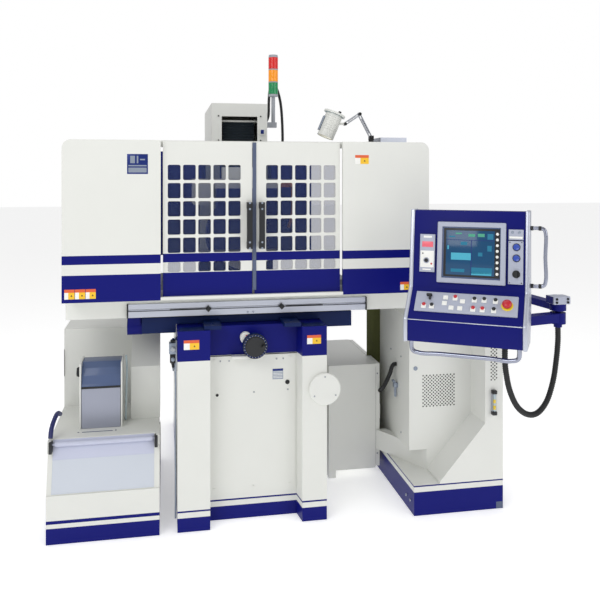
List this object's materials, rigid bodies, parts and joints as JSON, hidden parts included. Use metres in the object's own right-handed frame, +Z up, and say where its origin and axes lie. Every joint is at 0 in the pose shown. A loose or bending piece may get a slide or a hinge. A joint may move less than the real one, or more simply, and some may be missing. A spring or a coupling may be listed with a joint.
{
  "type": "surface grinder",
  "caption": "Saddle surface grinder with guarded reciprocating table, magnetic chuck, vertical wheelhead, swing control pendant, signal tower and coolant filter unit.",
  "frame": {"origin": "middle of the base casting's footprint, on the floor", "axes": "+X along the table to the operator's right, +Y from the operator to the column, +Z up"},
  "size_m": [2.306, 2.2268, 2.35],
  "materials": {
    "white_paint": "semi-gloss",
    "blue_paint": "semi-gloss",
    "teal_blue_paint": "satin",
    "slate_paint": "satin",
    "ground_steel": "ground",
    "aluminium": "satin",
    "chrome": "polished",
    "cast_table": "machined",
    "black_plastic": "matte",
    "grey_plastic": "matte",
    "black_rubber": "matte",
    "clear_pane": "clear",
    "red_lens": "translucent",
    "amber_lens": "translucent",
    "green_lens": "translucent",
    "red_button": "gloss",
    "abrasive": "coarse",
    "nozzle_plastic": "matte"
  },
  "bodies": {
    "machine": {"base_casting": "white_paint", "base_front_cover": "white_paint", "base_side_cover": "white_paint", "base_rear_cover": "white_paint", "cross_ways": "ground_steel", "column": "blue_paint", "column_ways": "ground_steel", "column_hood": "white_paint", "column_bellows": "black_rubber", "rear_shields": "blue_paint", "tower_mast": "aluminium", "red_lens": "red_lens", "amber_lens": "amber_lens", "green_lens": "green_lens", "signal_conduit": "black_rubber", "valve_box": "white_paint", "valve_box_cover": "white_paint", "trunk_duct": "white_paint", "cabinet": "white_paint", "oil_gauge": "clear_pane", "pendant_post": "aluminium", "coolant_tank": "white_paint", "magnetic_separator": "slate_paint", "drain_chute": "white_paint"},
    "cross_handwheel": {"cross_screw": "teal_blue_paint"},
    "saddle": {"saddle": "blue_paint", "table_cylinder": "blue_paint"},
    "table": {"table": "cast_table", "front_rail": "aluminium", "magnetic_chuck": "ground_steel", "trough": "white_paint", "guard_left": "white_paint", "guard_right": "white_paint", "guard_track": "white_paint", "lamp_driver": "grey_plastic"},
    "dog_left": {"trip_dog_left": "black_plastic"},
    "dog_right": {"trip_dog_right": "black_plastic"},
    "door_left": {"door_left": "white_paint", "door_left_pane": "clear_pane", "door_left_handle": "black_plastic"},
    "door_right": {"door_right": "white_paint", "door_right_pane": "clear_pane", "door_right_handle": "black_plastic"},
    "lamp_swivel": {"lamp_swivel": "black_plastic"},
    "lamp_arm": {"lamp_arm": "aluminium"},
    "lamp_forearm": {"lamp_forearm": "aluminium"},
    "lamp_head": {"lamp_head": "aluminium"},
    "wheelhead": {"wheelhead": "white_paint", "wheel_cover": "blue_paint", "coolant_nozzle": "nozzle_plastic"},
    "wheel": {"grinding_wheel": "abrasive"},
    "cabinet_door": {"cabinet_door": "white_paint"},
    "pendant_link": {"pendant_link": "blue_paint"},
    "pendant_arm": {"pendant_arm": "blue_paint", "pendant_cable": "black_rubber"},
    "pendant": {"pendant_case": "blue_paint", "pendant_panels": "grey_plastic"},
    "estop": {"estop_button": "red_button"},
    "mode_knob": {"mode_knob": "black_plastic"},
    "paper_roll": {"paper_roll": "black_plastic"}
  },
  "joints": [
    {"name": "saddle_slide", "type": "slide", "parent": "machine", "child": "saddle", "axis": [0, 1, 0], "range_m": [-0.15, 0.2]},
    {"name": "table_slide", "type": "slide", "parent": "saddle", "child": "table", "axis": [1, 0, 0], "range_m": [-0.38, 0.38]},
    {"name": "cross_handwheel_spin", "type": "hinge", "parent": "machine", "child": "cross_handwheel", "pos_m": [0.009, -0.71, 0.844], "axis": [0, 1, 0], "range_deg": [-5500, 7300]},
    {"name": "dog_left_slide", "type": "slide", "parent": "table", "child": "dog_left", "axis": [1, 0, 0], "range_m": [-0.3, 0.1]},
    {"name": "dog_right_slide", "type": "slide", "parent": "table", "child": "dog_right", "axis": [1, 0, 0], "range_m": [-0.1, 0.3]},
    {"name": "door_left_slide", "type": "slide", "parent": "table", "child": "door_left", "axis": [-1, 0, 0], "range_m": [0, 0.38]},
    {"name": "door_right_slide", "type": "slide", "parent": "table", "child": "door_right", "axis": [1, 0, 0], "range_m": [0, 0.37]},
    {"name": "wheelhead_slide", "type": "slide", "parent": "machine", "child": "wheelhead", "axis": [0, 0, 1], "range_m": [-0.034, 0.16], "deforming": ["column_bellows"]},
    {"name": "wheel_spin", "type": "hinge", "parent": "wheelhead", "child": "wheel", "pos_m": [0, -0.4, 1.345], "axis": [0, 1, 0], "continuous": true},
    {"name": "lamp_swivel_turn", "type": "hinge", "parent": "table", "child": "lamp_swivel", "pos_m": [0.63, -0.56, 1.825], "axis": [0, 0, 1], "range_deg": [-45, 60]},
    {"name": "lamp_shoulder", "type": "hinge", "parent": "lamp_swivel", "child": "lamp_arm", "pos_m": [0.63, -0.56, 1.846], "axis": [0, 1, 0], "range_deg": [-8, 20]},
    {"name": "lamp_elbow", "type": "hinge", "parent": "lamp_arm", "child": "lamp_forearm", "pos_m": [0.566, -0.566, 1.966], "axis": [0, 1, 0], "range_deg": [-10, 30]},
    {"name": "lamp_tilt", "type": "hinge", "parent": "lamp_forearm", "child": "lamp_head", "pos_m": [0.488, -0.572, 1.914], "axis": [0, 1, 0], "range_deg": [-20, 15]},
    {"name": "cabinet_door_hinge", "type": "hinge", "parent": "machine", "child": "cabinet_door", "pos_m": [1.234, -0.0825, 0.5], "axis": [0, 0, -1], "range_deg": [0, 110]},
    {"name": "pendant_post_swivel", "type": "hinge", "parent": "machine", "child": "pendant_link", "pos_m": [1.285, -0.73, 1.046], "axis": [0, 0, 1], "range_deg": [0, 60]},
    {"name": "pendant_elbow", "type": "hinge", "parent": "pendant_link", "child": "pendant_arm", "pos_m": [1.33, -1.15, 1.03], "axis": [0, 0, 1], "range_deg": [0, 70]},
    {"name": "pendant_swivel", "type": "hinge", "parent": "pendant_arm", "child": "pendant", "pos_m": [1.102, -1.202, 1.014], "axis": [0, 0, 1], "range_deg": [-20, 35]},
    {"name": "estop_press", "type": "slide", "parent": "pendant", "child": "estop", "axis": [0.4029, 0.6324, -0.6616], "range_m": [0, 0.005], "stiffness_N_per_m": 400},
    {"name": "mode_knob_turn", "type": "hinge", "parent": "pendant", "child": "mode_knob", "pos_m": [1.02727, -1.34389, 1.24033], "axis": [-0.5326, -0.836, 0.132], "range_deg": [-60, 60]},
    {"name": "paper_roll_spin", "type": "hinge", "parent": "machine", "child": "paper_roll", "pos_m": [-0.684, -0.699, 0.428], "axis": [1, 0, 0], "continuous": true}
  ],
  "couplings": [
    {"joint": "cross_handwheel_spin", "follows": "saddle_slide", "rad_per_m": 628.32}
  ]
}
